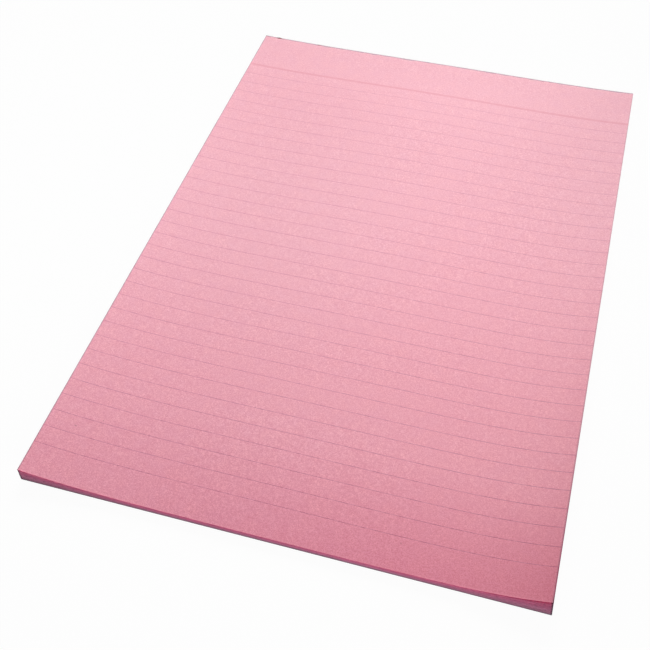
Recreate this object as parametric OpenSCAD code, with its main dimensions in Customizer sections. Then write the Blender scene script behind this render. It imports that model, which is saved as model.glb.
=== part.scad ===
// Ruled writing pad: loose leaves glued along the head edge onto a backing board.
// The free foot corners of the leaves have curled up off the board.
// x runs across the leaf, y from foot to head, z up from the underside of the board.
// Lengths are in millimetres.

/* [Leaves] */
// Width of a leaf
leaf_w = 210; // [148:1:297]
// Length of a leaf, from foot to head
leaf_l = 297; // [210:1:420]
// Thickness of one leaf
leaf_t = 0.08; // [0.06:0.01:0.12]
// Leaves in the pad
leaf_count = 37; // [20:1:80]

/* [Curl] */
// Rise of the left foot corner above the pressed stack
left_lift = 4.5; // [1:0.1:10]
// Rise of the right foot corner above the pressed stack
right_lift = 7.6; // [1:0.1:10]
// Rise of both sides at the head, where the glue holds the leaves down
head_lift = 1; // [0.2:0.1:2]
// Power of the curl on the left: a higher one keeps the leaf flat nearer to its edge
left_power = 4.1; // [3:0.1:6]
// Power of the curl on the right
right_power = 4.9; // [3:0.1:6]
// Height of the soft swell along the middle of the leaves
swell_h = 1.7; // [0:0.1:3]
// Place of the swell's crown, as a share of the leaf's length from the head
swell_share = 0.2; // [0.1:0.01:0.5]

/* [Ruling] */
// Distance from one feint line to the next
rule_pitch = 8; // [6:0.5:12]
// Distance from the head edge to the head rule
head_margin = 27.3; // [15:0.1:40]
// Least distance from the last feint line to the foot edge
foot_margin = 10; // [6:1:20]
// Width of a feint line
feint_w = 0.25; // [0.15:0.05:0.5]
// Width of the head rule
head_rule_w = 1.4; // [0.3:0.1:3]
// Thickness of the printed ink
ink_t = 0.04; // [0.02:0.01:0.1]

/* [Board and glue] */
// Thickness of the backing board
board_t = 0.6; // [0.4:0.1:2]
// Thickness of the glue film over the head edge
glue_t = 0.4; // [0.2:0.1:1]

/* [Hidden] */

// Places that the sizes give
half_w = leaf_w / 2;
foot_y = -(leaf_l + glue_t) / 2;
head_y = foot_y + leaf_l;
stack_z = board_t + leaf_count * leaf_t;
head_rule_y = head_y - head_margin;
rule_count = floor((leaf_l - head_margin - foot_margin) / rule_pitch);

// Steps across the leaf, closer together towards its curled sides
cross_steps = 20;
stations = [for (i = [0 : cross_steps]) half_w * sin(180 * i / cross_steps - 90)];

// Steps along the bare strip above the head rule
strip_steps = 4;

// Place of a point along the leaf: 0 at the head, 1 at the foot
function along(y) = (head_y - y) / leaf_l;

// Place of a point across the leaf: 0 in the middle, 1 at either side
function across(s) = abs(s) / half_w;

// Rise of the leaf's side at y, on the side that s lies on
function side_lift(s, y) = head_lift + ((s < 0 ? left_lift : right_lift) - head_lift) * along(y);

// Power of the curl on the side that s lies on
function side_power(s) = s < 0 ? left_power : right_power;

// Swell along the leaf, from 0 at the head and foot to 1 at its crown
function swell_along(v) = v < swell_share
    ? (1 - cos(180 * v / swell_share)) / 2
    : (1 + cos(180 * (v - swell_share) / (1 - swell_share))) / 2;

// Swell across the leaf, from 1 in the middle to 0 at the sides
function swell_across(u) = (1 + cos(180 * u)) / 2;

// Height of the top leaf
function top_z(s, y) = stack_z
    + side_lift(s, y) * pow(across(s), side_power(s))
    + swell_h * swell_along(along(y)) * swell_across(across(s));

// How far the curl draws a point of the top leaf in, since a curled leaf keeps its width
function drawn_in(s, y) = let (p = side_power(s))
    pow(p * side_lift(s, y), 2) * pow(across(s), 2 * p - 1) / (2 * half_w * (2 * p - 1));

// Section of the top leaf's upper face at y, left to right, raised by a height
function top_line(y, raised = 0) = [
    for (s = stations) [s - sign(s) * drawn_in(s, y), top_z(s, y) + raised]
];

// A list from its end to its start
function backwards(list) = [for (i = [len(list) - 1 : -1 : 0]) list[i]];

// Place of a printed line along y: 0 is the head rule, then the feint lines in turn
function rule_y(k) = head_rule_y - k * rule_pitch;

// Width of a printed line
function rule_w(k) = k == 0 ? head_rule_w : feint_w;

// Rows of the leaves from foot to head, each with its y and the y whose section it has.
// The leaf lies level along y over the width of a printed line.
rows = [
    [foot_y, foot_y],
    for (k = [rule_count : -1 : 0], side = [-1, 1]) [rule_y(k) + side * rule_w(k) / 2, rule_y(k)],
    for (i = [1 : strip_steps]) let (y = head_y - head_margin * (1 - i / strip_steps)) [y, y]
];

// Closed ring around the leaves at a row: the top from left to right, then the two corners on the board
right_corner = cross_steps + 1;
left_corner = cross_steps + 2;
ring_size = cross_steps + 3;
function leaf_ring(row) = [
    for (p = [each top_line(row[1]), [half_w, board_t], [-half_w, board_t]]) [p[0], row[0], p[1]]
];

// Triangles that fill a ring, seen from the foot: a fan from each corner on the board to its half
// of the top, and one triangle between the two fans
middle = cross_steps / 2;
ring_cap = [
    for (i = [0 : middle - 1]) [left_corner, i, i + 1],
    [left_corner, middle, right_corner],
    for (i = [middle : cross_steps - 1]) [right_corner, i, i + 1]
];

// Outline in x and z, drawn out along y from a near face
module drawn_along_y(near_y, depth, outline) {
    translate([0, near_y + depth, 0])
        rotate([90, 0, 0])
            linear_extrude(height = depth)
                polygon(outline);
}

// Ink of one printed line, which lies on the curled top leaf from side to side
module printed_line(k) {
    y = rule_y(k);
    outline = [each top_line(y), each backwards(top_line(y, ink_t))];
    drawn_along_y(y - rule_w(k) / 2, rule_w(k), outline);
}

module backing_board() {
    color("#7d7880")
        translate([-half_w, foot_y, 0])
            cube([leaf_w, leaf_l, board_t]);
}

module leaves() {
    last_ring = ring_size * (len(rows) - 1);
    walls = [
        for (low = [0 : ring_size : last_ring - ring_size], i = [0 : ring_size - 1])
            let (j = (i + 1) % ring_size, high = low + ring_size)
                each [[low + i, high + j, low + j], [low + i, high + i, high + j]]
    ];
    head_cap = [for (triangle = ring_cap) [for (i = backwards(triangle)) last_ring + i]];
    color("#e6a5b2")
        polyhedron([for (row = rows) each leaf_ring(row)], [each ring_cap, each walls, each head_cap]);
}

module head_glue() {
    color("#d9b3b8")
        drawn_along_y(head_y, glue_t, [each top_line(head_y), [half_w, 0], [-half_w, 0]]);
}

module feint_rules() {
    color("#a98aa6")
        for (k = [1 : rule_count])
            printed_line(k);
}

module head_rule() {
    color("#c8788f")
        printed_line(0);
}

backing_board();
leaves();
head_glue();
feint_rules();
head_rule();
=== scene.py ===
import math
import random

import bmesh
import bpy
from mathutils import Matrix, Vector, noise


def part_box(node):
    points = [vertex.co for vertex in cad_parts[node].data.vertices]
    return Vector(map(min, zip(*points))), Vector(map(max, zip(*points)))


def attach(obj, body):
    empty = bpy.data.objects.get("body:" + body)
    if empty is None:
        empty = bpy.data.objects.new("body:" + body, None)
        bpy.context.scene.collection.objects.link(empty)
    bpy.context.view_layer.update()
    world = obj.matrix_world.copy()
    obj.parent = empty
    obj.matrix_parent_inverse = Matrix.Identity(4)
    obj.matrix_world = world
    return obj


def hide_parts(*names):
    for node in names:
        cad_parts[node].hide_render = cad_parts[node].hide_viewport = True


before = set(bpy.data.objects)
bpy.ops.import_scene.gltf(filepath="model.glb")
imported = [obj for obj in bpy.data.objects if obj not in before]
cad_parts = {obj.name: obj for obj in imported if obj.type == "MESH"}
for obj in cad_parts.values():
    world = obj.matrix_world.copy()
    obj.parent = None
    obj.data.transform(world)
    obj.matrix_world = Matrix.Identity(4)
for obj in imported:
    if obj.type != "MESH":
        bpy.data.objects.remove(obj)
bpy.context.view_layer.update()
mm = 0.001
sharpAngle = 35            # degrees, past which an edge is shaded sharp

scene = bpy.context.scene
scene.view_settings.view_transform = "Standard"

# where the leaves lie, read off the solids
leavesLow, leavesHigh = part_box("leaves")
boardLow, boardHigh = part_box("backing_board")
glueLow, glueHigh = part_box("head_glue")
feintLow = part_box("feint_rules")[0]
headRuleLow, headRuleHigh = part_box("head_rule")
halfWidth = boardHigh.x
footY, headY = leavesLow.y, leavesHigh.y
sheetLength = headY - footY

# how the stack curls, in millimetres and powers, as in the solids
curl = {
    "leaves": 37,
    "leafThick": 0.08,
    "leftLift": 4.5,
    "rightLift": 7.6,
    "headLift": 1.0,
    "leftPower": 4.1,
    "rightPower": 4.9,
    "swell": 1.7,
    "swellCrown": 0.2,
    "leftLean": 0.1,       # how far the top leaf has slid in at the foot corners
    "rightLean": 0.2,
    "leftSpill": 0.3,      # and how far the lowest one has slid out
    "rightSpill": 0.15,
    "trim": 0.5,           # how far the head edge of the top leaf runs in towards its right end
    "trimFrom": 0.1,       # where across the leaf that starts, and over what share of the half width
    "trimOver": 0.5,
    "trimFade": 12,        # it is gone within a few lines of the head
}
leafThick = curl["leafThick"] * mm
stackTop = boardHigh.z + curl["leaves"] * leafThick


def sideValue(across, name):
    return curl["left" + name] if across < 0 else curl["right" + name]


def sheetPoint(across, along, pressedHeight, spread=(1.0, 1.0)):
    # across runs -1 to 1, along 0 at the head to 1 at the foot
    # spread is this leaf's share of the curl, left and right
    u = abs(across)
    share = spread[0] if across < 0 else spread[1]
    power = sideValue(across, "Power")
    lift = curl["headLift"] + (sideValue(across, "Lift") - curl["headLift"]) * along
    crown = curl["swellCrown"]
    if along < crown:
        swellAlong = (1 - math.cos(math.pi * along / crown)) / 2
    else:
        swellAlong = (1 + math.cos(math.pi * (along - crown) / (1 - crown))) / 2
    swell = curl["swell"] * sum(spread) / 2 * swellAlong * (1 + math.cos(math.pi * u)) / 2
    # a curled leaf keeps its width, so it is drawn in, and the leaves have slid a little on each other
    halfMm = halfWidth / mm
    drawnIn = share * (power * lift) ** 2 * u ** (2 * power - 1) / (2 * halfMm * (2 * power - 1))
    slid = sideValue(across, "Lean") * share - sideValue(across, "Spill") * (1 - share)
    drawnIn += slid * along * u ** power
    side = -1 if across < 0 else 1
    x = across * halfWidth - side * drawnIn * mm
    trim = curl["trim"] * share * min(1, max(0, (across - curl["trimFrom"]) / curl["trimOver"]))
    y = headY - along * sheetLength - trim * (1 - along) ** curl["trimFade"] * mm
    return Vector((x, y, pressedHeight + (share * lift * u ** power + swell) * mm))


def thicken(bm, verts, thick):
    # the faces of these vertices become the upper side of a layer
    faces = list(dict.fromkeys(face for vert in verts for face in vert.link_faces))
    lowered = bmesh.ops.extrude_face_region(bm, geom=faces)
    under = [item for item in lowered["geom"] if isinstance(item, bmesh.types.BMVert)]
    bmesh.ops.translate(bm, verts=under, vec=Vector((0, 0, -thick)))
    return under


def finishPiece(name, bm, slots, smooth=True):
    mesh = bpy.data.meshes.new(name)
    bm.to_mesh(mesh)
    bm.free()
    for material in slots:
        mesh.materials.append(material)
    if smooth:
        mesh.shade_smooth()
        mesh.set_sharp_from_angle(angle=math.radians(sharpAngle))
    piece = bpy.data.objects.new(name, mesh)
    scene.collection.objects.link(piece)
    return piece


def srgb(red, green, blue):
    # 0 to 255 screen values to the linear colour that nodes take
    shares = (red / 255, green / 255, blue / 255)
    return tuple(((c + 0.055) / 1.055) ** 2.4 if c > 0.04 else c / 12.92 for c in shares) + (1.0,)


def nodeTree(name):
    material = bpy.data.materials.new(name)
    material.use_nodes = True
    tree = material.node_tree
    return material, tree, tree.nodes["Principled BSDF"]


def addNode(tree, kind, inputs=None, **settings):
    node = tree.nodes.new(kind)
    for key, value in settings.items():
        setattr(node, key, value)
    for key, value in (inputs or {}).items():
        if isinstance(value, bpy.types.NodeSocket):
            tree.links.new(value, node.inputs[key])
        else:
            node.inputs[key].default_value = value
    return node


def objectCoords(tree):
    return addNode(tree, "ShaderNodeTexCoord").outputs["Object"]


def splitCoords(tree, coords):
    return addNode(tree, "ShaderNodeSeparateXYZ", {"Vector": coords}).outputs


def stretched(tree, coords, scale):
    return addNode(tree, "ShaderNodeMapping", {"Vector": coords, "Scale": scale}).outputs["Vector"]


def vertexValue(tree, name):
    return addNode(tree, "ShaderNodeAttribute", attribute_name=name).outputs["Fac"]


def noiseField(tree, coords, scale, detail=2.0, rough=0.5):
    inputs = {"Vector": coords, "Scale": scale, "Detail": detail, "Roughness": rough}
    return addNode(tree, "ShaderNodeTexNoise", inputs).outputs["Fac"]


def mathNode(tree, how, first, second=0.0):
    return addNode(tree, "ShaderNodeMath", {0: first, 1: second}, operation=how).outputs[0]


def distanceTo(tree, coords, point):
    node = addNode(tree, "ShaderNodeVectorMath", {0: coords, 1: point}, operation="DISTANCE")
    return node.outputs["Value"]


def remap(tree, value, span, result=(0, 1)):
    inputs = {"Value": value, "From Min": span[0], "From Max": span[1],
              "To Min": result[0], "To Max": result[1]}
    return addNode(tree, "ShaderNodeMapRange", inputs, clamp=True).outputs["Result"]


def blendColours(tree, factor, first, second, how="MIX"):
    # the colours of a Mix node are its sockets 6 and 7, and 2 on the way out
    inputs = {0: factor, 6: first, 7: second}
    return addNode(tree, "ShaderNodeMix", inputs, data_type="RGBA", blend_type=how).outputs[2]


def setFinish(bsdf, settings):
    bsdf.inputs["Roughness"].default_value = settings["roughness"]
    bsdf.inputs["Specular IOR Level"].default_value = settings["specular"]


def bumpFrom(tree, bsdf, height, bump):
    inputs = {"Height": height, "Strength": bump[0], "Distance": bump[1] * mm}
    tree.links.new(addNode(tree, "ShaderNodeBump", inputs).outputs["Normal"], bsdf.inputs["Normal"])


# Paper
# a span says where a tone or texture sets in and ends, and shares how strong it is at those two ends

paper = {
    "warm": srgb(251, 179, 192),
    "cool": srgb(246, 176, 194),
    "deep": srgb(223, 135, 153),
    "cloudScale": 150,                     # cloudy formation, from 7 mm down
    "cloudSpan": (0.34, 0.66),
    "grainScale": 1000,                    # fibre grain of about a millimetre
    "grainSpans": (0.53, 0.26, 0.44),      # its middle, and how wide it is at the foot and at the head
    "grainShare": 0.5,
    "speckleScale": 2600,
    "speckleSpans": (0.51, 0.25, 0.44),
    "speckleShare": 0.9,
    # dark flecks: small discs in some of the cells
    "fleck": srgb(170, 84, 98),
    "fleckScale": 70.0,
    "fleckSpan": (0.014, 0.024),
    "fleckPick": (0.9, 0.91),              # only cells with a high random value have one
    "fleckShares": (0, 0.55),
    # single fibres near the foot: place, half length and half width in millimetres
    "fibres": ((-92.6, -123.3, 0.75, 0.3), (46.9, -137.6, 0.42, 0.36), (-83.0, -117.8, 0.3, 0.3)),
    "fibreSpan": (0.4, 1.1),
    "fibreShares": (0.6, 0),
    # painted shade, darkening the right foot corner and a band along the foot
    "shadeTint": srgb(233, 188, 206),
    "cornerPlace": (halfWidth, footY, 11 * mm),
    "cornerSpan": (2 * mm, 42 * mm),
    "cornerShares": (0.44, 0),
    "footDeepest": 58 * mm,                # across the leaf
    "footAcross": (10 * mm, 130 * mm),     # to either side of that
    "footShares": (0.72, 0.24),
    "footAlong": (footY, footY + 46 * mm),
    # fuller towards the right foot corner
    "flush": srgb(255, 142, 158),
    "flushAcross": (-20 * mm, 100 * mm),
    "flushShares": (0, 0.22),
    "flushAlong": (-60 * mm, 50 * mm),
    # and a little paler left of the middle
    "paler": srgb(228, 182, 192),
    "palerPlace": (-60 * mm, 10 * mm, 0),
    "palerSpan": (25 * mm, 95 * mm),
    "palerShares": (0.16, 0),
    # a painted highlight along the rim of the foot, clearer towards both corners
    "rim": srgb(246, 146, 172),
    "highlightAcross": (20 * mm, 80 * mm),
    "highlightShares": (0.1, 0.4),
    "highlightAlong": (footY + 0.25 * mm, footY + 0.8 * mm),
    # painted shade along the sides, by the distance in from them in millimetres
    "sideShade": srgb(140, 106, 120),
    "sideShadeGap": (0.2, 0.5),
    "sideShadeShares": (0.7, 0.35),            # left and right
    "roughSpan": (0.3, 0.7),
    "roughness": (0.44, 0.56),
    "specular": 0.5,
    "bump": (0.25, 0.03),                  # strength, and height in millimetres
}


def clearerAtFoot(tree, y, field, spans, strength):
    # a noise that shows more towards the foot, with the same mean tone
    middle, atFoot, atHead = spans
    low = remap(tree, y, (footY, headY), (middle - atFoot / 2, middle - atHead / 2))
    high = remap(tree, y, (footY, headY), (middle + atFoot / 2, middle + atHead / 2))
    return remap(tree, field, (low, high), (0, strength))


def paperColour(tree, coords, y):
    clouds = noiseField(tree, coords, paper["cloudScale"], 5.0, 0.65)
    grain = noiseField(tree, coords, paper["grainScale"], 2.0, 0.6)
    speckle = noiseField(tree, coords, paper["speckleScale"], 2.0, 0.6)
    grainShare = clearerAtFoot(tree, y, grain, paper["grainSpans"], paper["grainShare"])
    speckleShare = clearerAtFoot(tree, y, speckle, paper["speckleSpans"], paper["speckleShare"])
    colour = blendColours(tree, remap(tree, clouds, paper["cloudSpan"]), paper["warm"], paper["cool"])
    colour = blendColours(tree, grainShare, colour, paper["deep"])
    return blendColours(tree, speckleShare, colour, paper["deep"])


def addFlecks(tree, coords, colour):
    inputs = {"Vector": coords, "Scale": paper["fleckScale"]}
    cells = addNode(tree, "ShaderNodeTexVoronoi", inputs).outputs
    near = remap(tree, cells["Distance"], paper["fleckSpan"], (1, 0))
    picked = addNode(tree, "ShaderNodeSeparateColor", {"Color": cells["Color"]}).outputs["Red"]
    chosen = remap(tree, picked, paper["fleckPick"], paper["fleckShares"])
    colour = blendColours(tree, mathNode(tree, "MULTIPLY", near, chosen), colour, paper["fleck"])
    for x, y, halfLong, halfWide in paper["fibres"]:
        inputs = {"Vector": coords, "Location": (-x / halfLong, -y / halfWide, 0),
                  "Scale": (1 / (halfLong * mm), 1 / (halfWide * mm), 0)}
        away = addNode(tree, "ShaderNodeMapping", inputs).outputs["Vector"]
        away = addNode(tree, "ShaderNodeVectorMath", {0: away}, operation="LENGTH").outputs["Value"]
        share = remap(tree, away, paper["fibreSpan"], paper["fibreShares"])
        colour = blendColours(tree, share, colour, paper["fleck"])
    return colour


def addTones(tree, coords, place, colour):
    # painted shade deepens the right foot corner and a band along the foot
    fromCorner = distanceTo(tree, coords, paper["cornerPlace"])
    share = remap(tree, fromCorner, paper["cornerSpan"], paper["cornerShares"])
    colour = blendColours(tree, share, colour, paper["shadeTint"], "MULTIPLY")

    fromDeepest = mathNode(tree, "SUBTRACT", place["X"], paper["footDeepest"])
    fromDeepest = mathNode(tree, "ABSOLUTE", fromDeepest)
    footShare = remap(tree, fromDeepest, paper["footAcross"], paper["footShares"])
    share = remap(tree, place["Y"], paper["footAlong"], (footShare, 0))
    colour = blendColours(tree, share, colour, paper["shadeTint"], "MULTIPLY")

    flushShare = remap(tree, place["X"], paper["flushAcross"], paper["flushShares"])
    share = remap(tree, place["Y"], paper["flushAlong"], (flushShare, 0))
    colour = blendColours(tree, share, colour, paper["flush"])

    fromPaler = distanceTo(tree, coords, paper["palerPlace"])
    share = remap(tree, fromPaler, paper["palerSpan"], paper["palerShares"])
    return blendColours(tree, share, colour, paper["paler"])


def addHighlightAndSideShade(tree, place, colour):
    # a painted highlight along the rim of the foot
    fromMiddle = mathNode(tree, "ABSOLUTE", place["X"])
    highlightShare = remap(tree, fromMiddle, paper["highlightAcross"], paper["highlightShares"])
    share = remap(tree, place["Y"], paper["highlightAlong"], (highlightShare, 0))
    colour = blendColours(tree, share, colour, paper["rim"])

    # painted shade along the sides
    near = remap(tree, vertexValue(tree, "sideGap"), paper["sideShadeGap"], (1, 0))
    sideShadeShare = remap(tree, place["X"], (-halfWidth, halfWidth), paper["sideShadeShares"])
    return blendColours(tree, mathNode(tree, "MULTIPLY", near, sideShadeShare), colour, paper["sideShade"])


def pinkPaper():
    material, tree, bsdf = nodeTree("pinkPaper")
    coords = objectCoords(tree)
    place = splitCoords(tree, coords)
    colour = paperColour(tree, coords, place["Y"])
    colour = addFlecks(tree, coords, colour)
    colour = addTones(tree, coords, place, colour)
    colour = addHighlightAndSideShade(tree, place, colour)
    tree.links.new(colour, bsdf.inputs["Base Color"])
    fibres = noiseField(tree, coords, paper["speckleScale"], 3.0, 0.65)
    roughness = remap(tree, fibres, paper["roughSpan"], paper["roughness"])
    tree.links.new(roughness, bsdf.inputs["Roughness"])
    bsdf.inputs["Specular IOR Level"].default_value = paper["specular"]
    bumpFrom(tree, bsdf, fibres, paper["bump"])
    return material


# cut edges of the leaves, from the board up to the top leaf
edge = {
    # the lowest, greyer steps are painted contact shade towards the floor, and the crimson top step paints a
    # shadow line on the edges of the top leaves
    "steps": ((0.0, srgb(165, 128, 148)), (0.12, srgb(210, 148, 173)), (0.35, srgb(226, 147, 180)),
              (0.6, srgb(234, 134, 172)), (0.9, srgb(242, 132, 170)), (0.96, srgb(240, 98, 140))),
    "shade": srgb(150, 84, 120),
    "layerScale": (30, 30, 9000),          # gives each leaf's edge a tone of its own
    "layerSpan": (0.4, 0.7),
    "layerShares": (0, 0.35),
    "fuzzScale": 1800,
    "fuzzSpan": (0.45, 0.75),
    "fuzzShares": (0, 0.3),
    # painted shade at the ends of the foot edge, a little on the sides
    "edgeShade": srgb(84, 68, 80),
    "edgeShadeFrom": 0.15,                      # millimetres in from the side
    "edgeShadeTo": (0.9, 0.55),                 # left and right
    "edgeShadeAlong": (footY + 0.3 * mm, footY + 5 * mm),
    "edgeShadeShares": (0.85, 0.15),
    "roughness": 0.9,
    "specular": 0.2,
    "bump": (0.3, 0.03),
}


def colourSteps(tree, value, steps):
    node = addNode(tree, "ShaderNodeValToRGB", {"Fac": value})
    stops = node.color_ramp.elements
    stops[0].position, stops[0].color = steps[0]
    stops[1].position, stops[1].color = steps[-1]
    for place, colour in steps[1:-1]:
        stops.new(place).color = colour
    return node.outputs["Color"]


def cutEdge():
    material, tree, bsdf = nodeTree("cutEdge")
    coords = objectCoords(tree)
    layers = noiseField(tree, stretched(tree, coords, edge["layerScale"]), 1.0, 1.0)
    fuzz = noiseField(tree, coords, edge["fuzzScale"])
    layerShare = remap(tree, layers, edge["layerSpan"], edge["layerShares"])
    fuzzShare = remap(tree, fuzz, edge["fuzzSpan"], edge["fuzzShares"])
    colour = colourSteps(tree, vertexValue(tree, "level"), edge["steps"])
    colour = blendColours(tree, layerShare, colour, edge["shade"])
    colour = blendColours(tree, fuzzShare, colour, edge["shade"])
    # painted shade at the ends of the foot edge, a little on the sides
    place = splitCoords(tree, coords)
    reach = remap(tree, place["X"], (-halfWidth, halfWidth), edge["edgeShadeTo"])
    near = remap(tree, vertexValue(tree, "sideGap"), (edge["edgeShadeFrom"], reach), (1, 0))
    edgeShadeShare = remap(tree, place["Y"], edge["edgeShadeAlong"], edge["edgeShadeShares"])
    colour = blendColours(tree, mathNode(tree, "MULTIPLY", near, edgeShadeShare), colour, edge["edgeShade"])
    tree.links.new(colour, bsdf.inputs["Base Color"])
    setFinish(bsdf, edge)
    bumpFrom(tree, bsdf, fuzz, edge["bump"])
    return material


pinkPaperMaterial = pinkPaper()
cutEdgeMaterial = cutEdge()
print("paper materials made")

rowCrowding = 0.65         # how much closer the rows of a leaf lie towards the head


def addSheet(bm, steps, pressedHeight, spread, shift, thick, level):
    # a flat grid takes its place in the curled stack, then gets the thickness of a leaf
    levels = bm.verts.layers.float.new("level")               # 0 at the board to 1 at the top leaf
    gaps = bm.verts.layers.float.new("sideGap")               # in from the leaf's own side, in millimetres
    made = bmesh.ops.create_grid(bm, x_segments=steps["crossSteps"], y_segments=steps["lengthSteps"],
                                 size=1.0)
    for vert in made["verts"]:
        across = math.sin(vert.co.x * math.pi / 2)            # closer steps towards the curled sides
        along = (1 - vert.co.y) / 2
        along *= 1 - rowCrowding + rowCrowding * along
        vert.co = sheetPoint(across, along, pressedHeight, spread) + shift * along
        vert[levels] = level
        vert[gaps] = (1 - abs(across)) * halfWidth / mm
    under = set(thicken(bm, made["verts"], thick))
    for face in bm.faces:
        if 0 < sum(vert in under for vert in face.verts) < len(face.verts):
            face.material_index = 1                           # the cut edge


topLeaf = {"crossSteps": 96, "lengthSteps": 110}


def makeTopLeaf():
    bm = bmesh.new()
    addSheet(bm, topLeaf, stackTop, (1.0, 1.0), Vector(), leafThick, 1.0)
    bmesh.ops.recalc_face_normals(bm, faces=bm.faces[:])
    piece = finishPiece("topLeaf", bm, (pinkPaperMaterial, cutEdgeMaterial))
    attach(piece, "root")
    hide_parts("leaves")


makeTopLeaf()
print("top leaf made")

# the leaves under the top one fan out towards the foot corners
lowerLeaves = {
    "crossSteps": 36,
    "lengthSteps": 28,
    "thickShare": 0.98,       # of a leaf's thickness, so that no two faces share a place
    "fanPower": 1.35,         # the upper leaves stand further apart
    "fanTop": (0.97, 0.90),   # the next leaf lies a little below the top one, left and right
    "slipAcross": 0.12,       # how far a leaf may lie out of line, in millimetres
    "slipAlong": 0.10,
    "seed": 7,
}


def makeLowerLeaves():
    rng = random.Random(lowerLeaves["seed"])
    bm = bmesh.new()
    count = curl["leaves"] - 1
    for k in range(1, count + 1):
        leaf = bmesh.new()
        slip = Vector((rng.uniform(-1, 1) * lowerLeaves["slipAcross"] * mm,
                       rng.uniform(-1, 1) * lowerLeaves["slipAlong"] * mm, 0))
        share = (k / count) ** lowerLeaves["fanPower"]
        spread = [share * side for side in lowerLeaves["fanTop"]]
        pressed = boardHigh.z + k * leafThick
        addSheet(leaf, lowerLeaves, pressed, spread, slip, leafThick * lowerLeaves["thickShare"], share)
        bmesh.ops.recalc_face_normals(leaf, faces=leaf.faces[:])
        part = bpy.data.meshes.new("leaf")
        leaf.to_mesh(part)
        leaf.free()
        bm.from_mesh(part)
        bpy.data.meshes.remove(part)
    piece = finishPiece("lowerLeaves", bm, (cutEdgeMaterial, cutEdgeMaterial))
    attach(piece, "root")
    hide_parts("leaves")


makeLowerLeaves()
print("lower leaves made")

# Ruling

ruling = {
    "crossSteps": 96,
    "pitch": 8.0,
    "proud": 0.012,        # top of the ink above the leaf, in millimetres
    "sunk": 0.03,
    "ink": srgb(190, 97, 128),
    "inkPale": srgb(218, 132, 155),
    "headInk": srgb(228, 139, 154),
    "headInkPale": srgb(230, 144, 159),
    "patchScale": 420,     # uneven ink on rough paper
    "patchSpan": (0.40, 0.62),
    # the feint lines are fainter towards the head, in two stages
    "inkFade": srgb(229, 151, 169),
    "fades": (((footY + 15 * mm, footY + 70 * mm), (0, 0.28)),
              ((footY + 70 * mm, headY - 60 * mm), (0, 0.42))),
    "feintFinish": {"roughness": 0.7, "specular": 0.5},
    "headFinish": {"roughness": 0.5, "specular": 0.5},
}


def printedInk(name, ink, pale, finish, fades=()):
    material, tree, bsdf = nodeTree(name)
    coords = objectCoords(tree)
    patches = noiseField(tree, coords, ruling["patchScale"], 3.0, 0.6)
    colour = blendColours(tree, remap(tree, patches, ruling["patchSpan"]), ink, pale)
    for span, shares in fades:
        share = remap(tree, splitCoords(tree, coords)["Y"], span, shares)
        colour = blendColours(tree, share, colour, ruling["inkFade"])
    tree.links.new(colour, bsdf.inputs["Base Color"])
    setFinish(bsdf, finish)
    return material


def addLine(bm, y, width):
    made = bmesh.ops.create_grid(bm, x_segments=ruling["crossSteps"], y_segments=1, size=1.0)
    for vert in made["verts"]:
        across = math.sin(vert.co.x * math.pi / 2)
        lineY = y + vert.co.y * width / 2
        vert.co = sheetPoint(across, (headY - lineY) / sheetLength, stackTop)
        vert.co.z += ruling["proud"] * mm
    thicken(bm, made["verts"], (ruling["proud"] + ruling["sunk"]) * mm)


def makeRuling():
    headRuleY = (headRuleLow.y + headRuleHigh.y) / 2
    headRuleWidth = headRuleHigh.y - headRuleLow.y
    count = round((headRuleY - feintLow.y) / mm / ruling["pitch"])
    feintWidth = 2 * (headRuleY - feintLow.y - count * ruling["pitch"] * mm)
    print("feint lines", count, "width", round(feintWidth / mm, 3))
    lines = bmesh.new()
    for k in range(1, count + 1):
        addLine(lines, headRuleY - k * ruling["pitch"] * mm, feintWidth)
    bmesh.ops.recalc_face_normals(lines, faces=lines.faces[:])
    ink = printedInk("feintInk", ruling["ink"], ruling["inkPale"], ruling["feintFinish"], ruling["fades"])
    feint = finishPiece("feintLines", lines, (ink,))
    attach(feint, "root")
    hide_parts("feint_rules")

    line = bmesh.new()
    addLine(line, headRuleY, headRuleWidth)
    bmesh.ops.recalc_face_normals(line, faces=line.faces[:])
    ink = printedInk("headInk", ruling["headInk"], ruling["headInkPale"], ruling["headFinish"])
    head = finishPiece("headLine", line, (ink,))
    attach(head, "root")
    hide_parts("head_rule")


makeRuling()
print("ruling made")

# Backing board

board = {
    "bevel": 0.09,
    "proud": (0.4, 0.25),                     # how far it stands out of the leaves, left and right
    "grey": srgb(122, 117, 121),
    "pale": srgb(142, 137, 139),
    "pulpScale": 260,
    "pulpSpan": (0.35, 0.65),
    "dark": srgb(84, 78, 84),
    "speckScale": 1400,
    "speckSpan": (0.6, 0.72),
    "speckShares": (0, 0.7),
    "rim": srgb(108, 77, 92),                 # its cut edges, darker and pinker than its faces, carry painted contact shade
    "rimPale": srgb(126, 92, 107),
    "rimHeight": (0.01 * mm, 0.08 * mm),      # above the underside
    "corner": srgb(78, 68, 78),               # with more painted shade at the foot corners
    "cornerSpan": (halfWidth - 9 * mm, halfWidth - 1 * mm),
    "cornerShares": (0, 0.8),
    "roughness": 0.88,
    "specular": 0.25,
    "bump": (0.3, 0.05),
}


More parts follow.
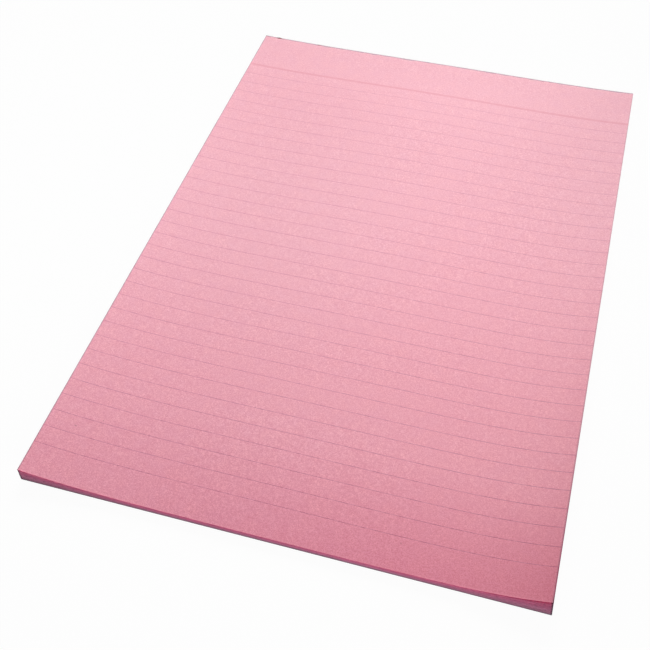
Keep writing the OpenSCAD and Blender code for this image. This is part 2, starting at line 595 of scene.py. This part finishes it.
def greyBoard():
    material, tree, bsdf = nodeTree("greyBoard")
    coords = objectCoords(tree)
    pulp = remap(tree, noiseField(tree, coords, board["pulpScale"], 5.0, 0.65), board["pulpSpan"])
    specks = noiseField(tree, coords, board["speckScale"])
    face = blendColours(tree, pulp, board["grey"], board["pale"])
    # the cut edges carry painted contact shade, more at the foot corners
    rim = blendColours(tree, pulp, board["rim"], board["rimPale"])
    place = splitCoords(tree, coords)
    fromMiddle = mathNode(tree, "ABSOLUTE", place["X"])
    cornerShare = remap(tree, fromMiddle, board["cornerSpan"], board["cornerShares"])
    rim = blendColours(tree, cornerShare, rim, board["corner"])
    colour = blendColours(tree, remap(tree, place["Z"], board["rimHeight"]), face, rim)
    speckShare = remap(tree, specks, board["speckSpan"], board["speckShares"])
    colour = blendColours(tree, speckShare, colour, board["dark"])
    tree.links.new(colour, bsdf.inputs["Base Color"])
    setFinish(bsdf, board)
    bumpFrom(tree, bsdf, specks, board["bump"])
    return material


def makeBoard():
    bm = bmesh.new()
    bmesh.ops.create_cube(bm, size=1.0)
    low = boardLow - Vector((board["proud"][0] * mm, 0, 0))
    high = boardHigh + Vector((board["proud"][1] * mm, 0, 0))
    bmesh.ops.scale(bm, vec=high - low, verts=bm.verts[:])
    bmesh.ops.translate(bm, vec=(high + low) / 2, verts=bm.verts[:])
    bmesh.ops.bevel(bm, geom=bm.edges[:], offset=board["bevel"] * mm, segments=2, profile=0.5,
                    affect="EDGES", material=-1)
    piece = finishPiece("backingBoard", bm, (greyBoard(),))
    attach(piece, "root")
    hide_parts("backing_board")


makeBoard()
print("backing board made")

# Glue over the head edge

glue = {
    "crossSteps": 160,
    "heightSteps": 14,
    "film": 0.02,             # how thick it lies on the top leaf, in millimetres
    "filmThins": 0.3,         # share of that lost where it ends
    "ripple": 0.12,           # how uneven the brushed film is, in millimetres
    "rippleNoise": (9, 1.5, 3.7),
    "turnAt": 0.8,            # share of the film that goes up the head edge, before it turns over the rim
    "rimBody": 0.55,          # thinner at its upper and lower rims
    "bodyGain": 2.7,
    "overRim": 0.5,           # share of its thickness left where it turns
    "lap": 0.7,               # how far it laps over the top leaf, in millimetres
    "lapMean": 0.75,
    "lapVaries": 0.7,
    "lapNoise": (30, 0.4, 8.1),
    "tone": srgb(172, 132, 144),
    "thin": srgb(192, 148, 160),
    "brushScale": (60, 60, 700),
    "brushSpan": (0.35, 0.65),
    "dark": srgb(140, 96, 106),
    "dirtScale": (110, 300, 300),
    "dirtSpan": (0.5, 0.72),
    "dirtShares": (0, 0.8),
    "leafLineScale": (20, 20, 6000),
    "roughSpan": (0.3, 0.7),
    "roughness": (0.42, 0.58),
    "bump": (0.4, 0.05),
}


def paddingGlue():
    material, tree, bsdf = nodeTree("paddingGlue")
    coords = objectCoords(tree)
    brushed = noiseField(tree, stretched(tree, coords, glue["brushScale"]), 1.0, 3.0)
    dirt = noiseField(tree, stretched(tree, coords, glue["dirtScale"]), 1.0, 3.0, 0.6)
    leafLines = noiseField(tree, stretched(tree, coords, glue["leafLineScale"]), 1.0, 1.0)
    colour = blendColours(tree, remap(tree, brushed, glue["brushSpan"]), glue["tone"], glue["thin"])
    dirtShare = remap(tree, dirt, glue["dirtSpan"], glue["dirtShares"])
    colour = blendColours(tree, dirtShare, colour, glue["dark"])
    tree.links.new(colour, bsdf.inputs["Base Color"])
    roughness = remap(tree, brushed, glue["roughSpan"], glue["roughness"])
    tree.links.new(roughness, bsdf.inputs["Roughness"])
    bumpFrom(tree, bsdf, leafLines, glue["bump"])
    return material


def gluePoint(across, turn):
    # across runs -1 to 1, turn 0 at the lower end of the film to 1 at the end of its lap
    top = sheetPoint(across, 0.0, stackTop)
    full = glueHigh.y - headY
    if turn < glue["turnAt"]:                                 # up the head edge
        scaleAcross, scaleUp, offset = glue["rippleNoise"]
        uneven = noise.noise(Vector((across * scaleAcross, turn * scaleUp, offset))) * glue["ripple"] * mm
        rise = turn / glue["turnAt"]
        body = min(1.0, glue["rimBody"] + glue["bodyGain"] * min(rise, 1 - rise))
        backed = headY + (top.y - headY) * rise
        return Vector((top.x, backed + (full - abs(uneven)) * body, glueLow.z + (top.z - glueLow.z) * rise))
    reach = (turn - glue["turnAt"]) / (1 - glue["turnAt"])    # over the rim and onto the top leaf
    scaleAcross, *offset = glue["lapNoise"]
    varies = glue["lapVaries"] * noise.noise(Vector((across * scaleAcross, *offset)))
    lap = glue["lap"] * mm * (glue["lapMean"] + varies)
    return Vector((top.x, top.y + full * glue["overRim"] * (1 - reach) - lap * reach,
                   top.z + glue["film"] * mm * (1 - glue["filmThins"] * reach)))


def makeGlue():
    bm = bmesh.new()
    made = bmesh.ops.create_grid(bm, x_segments=glue["crossSteps"], y_segments=glue["heightSteps"], size=1.0)
    for vert in made["verts"]:
        vert.co = gluePoint(vert.co.x, (vert.co.y + 1) / 2)
    # the inner side lies against the head edge and just under the face of the top leaf
    inner = bmesh.ops.extrude_face_region(bm, geom=bm.faces[:])
    for item in inner["geom"]:
        if isinstance(item, bmesh.types.BMVert):
            top = sheetPoint(item.co.x / halfWidth, 0.0, stackTop)
            rise = min(1, (item.co.z - glueLow.z) / (top.z - glueLow.z))
            item.co.y = min(item.co.y, headY + (top.y - headY) * rise)
            item.co.z = min(item.co.z, top.z - glue["film"] * mm)
    bmesh.ops.recalc_face_normals(bm, faces=bm.faces[:])
    piece = finishPiece("headGlue", bm, (paddingGlue(),))
    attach(piece, "root")
    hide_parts("head_glue")


# dried bits of glue on the rim
crumbs = {
    # middle across the leaf, length, width and height in millimetres
    "sizes": ((-96.9, 2.8, 0.9, 0.18), (-72.6, 3.2, 0.35, 0.1)),
    "inward": 0.25,           # from the head edge, in millimetres
    "lumpScale": 3.1,
    "lumpHeight": 0.5,
    "tone": srgb(150, 62, 58),
    "dark": srgb(104, 44, 42),
    "toneScale": 1500,
    "toneSpan": (0.35, 0.65),
    "roughness": 0.9,
    "specular": 0.1,
    "bump": (0.5, 0.05),
}


def driedGlue():
    material, tree, bsdf = nodeTree("glueCrumb")
    lumps = noiseField(tree, objectCoords(tree), crumbs["toneScale"])
    colour = blendColours(tree, remap(tree, lumps, crumbs["toneSpan"]), crumbs["tone"], crumbs["dark"])
    tree.links.new(colour, bsdf.inputs["Base Color"])
    setFinish(bsdf, crumbs)
    bumpFrom(tree, bsdf, lumps, crumbs["bump"])
    return material


def makeCrumbs():
    bm = bmesh.new()
    for middle, length, width, height in crumbs["sizes"]:
        made = bmesh.ops.create_icosphere(bm, subdivisions=3, radius=0.5)
        top = sheetPoint(middle * mm / halfWidth, 0.0, stackTop)
        seat = Vector((top.x, headY - crumbs["inward"] * mm, top.z + glue["film"] * mm))
        size = Vector((length, width, height)) * mm
        for vert in made["verts"]:
            lumpy = noise.noise(vert.co * crumbs["lumpScale"] + Vector((middle, 0, 0)))
            vert.co = seat + vert.co * size * (1 + crumbs["lumpHeight"] * lumpy)
    bmesh.ops.recalc_face_normals(bm, faces=bm.faces[:])
    piece = finishPiece("glueCrumbs", bm, (driedGlue(),))
    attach(piece, "root")
    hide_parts("head_glue")


makeGlue()
makeCrumbs()
print("head glue made")

# Camera, stage and light

camera = {
    "place": (0.07843, -0.28881, 0.33404),
    "turn": (38.669, 0.806, 15.499),
    "lens": 52.669,
    "sensor": 36.0,
    "shift": (-0.0563, -0.0191),
    "nearest": 0.01,
}


def makeCamera():
    data = bpy.data.cameras.new("camera")
    data.lens = camera["lens"]
    data.sensor_width = camera["sensor"]
    data.shift_x, data.shift_y = camera["shift"]
    data.clip_start = camera["nearest"]
    item = bpy.data.objects.new("camera", data)
    item.location = camera["place"]
    item.rotation_euler = [math.radians(a) for a in camera["turn"]]
    scene.collection.objects.link(item)
    scene.camera = item


def seenDirectly(tree):
    # 1 for what the camera sees straight, in a mirror or through glass
    path = addNode(tree, "ShaderNodeLightPath").outputs
    seen = mathNode(tree, "MAXIMUM", path["Is Camera Ray"], path["Is Glossy Ray"])
    return mathNode(tree, "MAXIMUM", seen, path["Is Transmission Ray"])


stage = {
    "size": 6.0,
    "drop": 0.05,                          # below the board, in millimetres
    "floor": (0.86, 0.86, 0.86, 1.0),
    "roughness": 0.95,
    "specular": 0.0,
    "white": (1.0, 1.0, 1.0, 1.0),
    "veil": 0.96,                          # share of plain white in the floor as it is seen
    "horizon": 0.967,
}


def makeFloor():
    bm = bmesh.new()
    bmesh.ops.create_grid(bm, x_segments=1, y_segments=1, size=stage["size"] / 2)
    bmesh.ops.translate(bm, verts=bm.verts[:], vec=Vector((0, 0, -stage["drop"] * mm)))
    material, tree, bsdf = nodeTree("floorWhite")
    bsdf.inputs["Base Color"].default_value = stage["floor"]
    setFinish(bsdf, stage)
    glow = addNode(tree, "ShaderNodeEmission", {"Color": stage["white"], "Strength": 1.0})
    share = mathNode(tree, "MULTIPLY", seenDirectly(tree), stage["veil"])
    mixed = addNode(tree, "ShaderNodeMixShader", {0: share, 1: bsdf.outputs[0], 2: glow.outputs[0]})
    tree.links.new(mixed.outputs[0], tree.nodes["Material Output"].inputs["Surface"])
    finishPiece("floor", bm, (material,), smooth=False)


light = {
    "sky": 0.155,
    "skyTint": (0.97, 0.98, 1.0, 1.0),
    # a softbox with a grid, low behind the head of the pad, so its light fades towards the foot
    "key": {
        "place": (-0.125, 0.399, 0.35),
        "aim": (-0.084, -0.005, 0.0),
        "size": (0.558, 0.417),
        "spread": 51.4,
        "watts": 0.706,
    },
    # a softer one from the right, in front of the foot
    "fill": {
        "place": (0.65, -0.85, 0.40),
        "aim": (0.0, -0.05, 0.0),
        "size": (0.8, 0.5),
        "spread": 180.0,
        "watts": 5.85,
    },
}


def makeWorld():
    world = bpy.data.worlds.new("studio")
    scene.world = world
    world.use_nodes = True
    tree = world.node_tree
    sky = tree.nodes["Background"]
    sky.inputs["Color"].default_value = light["skyTint"]
    sky.inputs["Strength"].default_value = light["sky"]
    inputs = {"Color": stage["white"], "Strength": stage["horizon"]}
    white = addNode(tree, "ShaderNodeBackground", inputs)
    inputs = {0: seenDirectly(tree), 1: sky.outputs[0], 2: white.outputs[0]}
    mixed = addNode(tree, "ShaderNodeMixShader", inputs)
    tree.links.new(mixed.outputs[0], tree.nodes["World Output"].inputs["Surface"])


def makeLamp(name):
    lamp = light[name]
    data = bpy.data.lights.new(name, "AREA")
    data.shape = "RECTANGLE"
    data.size, data.size_y = lamp["size"]
    data.spread = math.radians(lamp["spread"])
    data.energy = lamp["watts"]
    item = bpy.data.objects.new(name, data)
    item.location = lamp["place"]
    towards = Vector(lamp["aim"]) - Vector(lamp["place"])
    item.rotation_euler = towards.to_track_quat("-Z", "Y").to_euler()
    scene.collection.objects.link(item)


makeCamera()
makeFloor()
makeWorld()
makeLamp("key")
makeLamp("fill")
print("camera, stage and light made")
